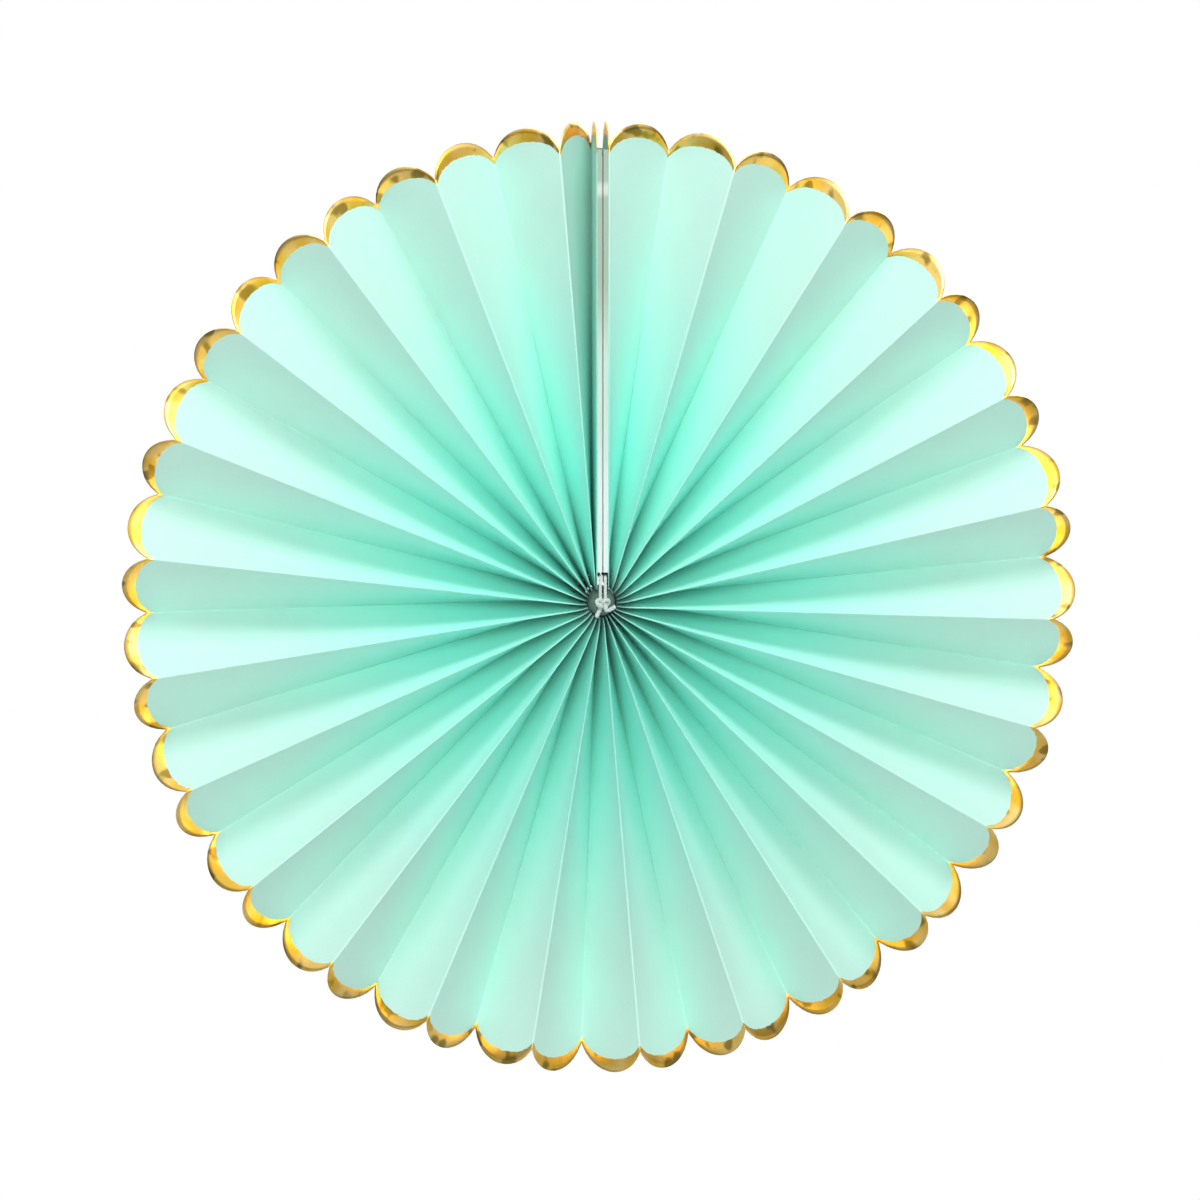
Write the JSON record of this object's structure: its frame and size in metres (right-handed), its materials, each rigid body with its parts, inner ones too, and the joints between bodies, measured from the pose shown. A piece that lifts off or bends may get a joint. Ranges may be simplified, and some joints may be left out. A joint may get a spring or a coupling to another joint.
{
  "type": "paper fan rosette",
  "caption": "Round hanging decoration made of one pleated paper strip with gold-edged scallops, joined by card boards at the seam and tied with thread at the hub.",
  "frame": {"origin": "centre of the hub, at half its depth", "axes": "+Z from the hub up along the seam, +Y through the hub to the back (the wall side), so the front faces -Y"},
  "size_m": [0.2294, 0.0213, 0.2298],
  "materials": {
    "mint_paper": "matt mint paper with a gold foil line along each scallop",
    "white_card": "uncoated white card",
    "adhesive": "double-sided tape",
    "white_thread": "twisted cotton thread"
  },
  "bodies": {
    "root": {"pleated_sheet": "mint_paper", "end_board_left": "white_card", "end_board_right": "white_card", "adhesive_strip": "adhesive", "tie_thread": "white_thread"}
  },
  "joints": []
}
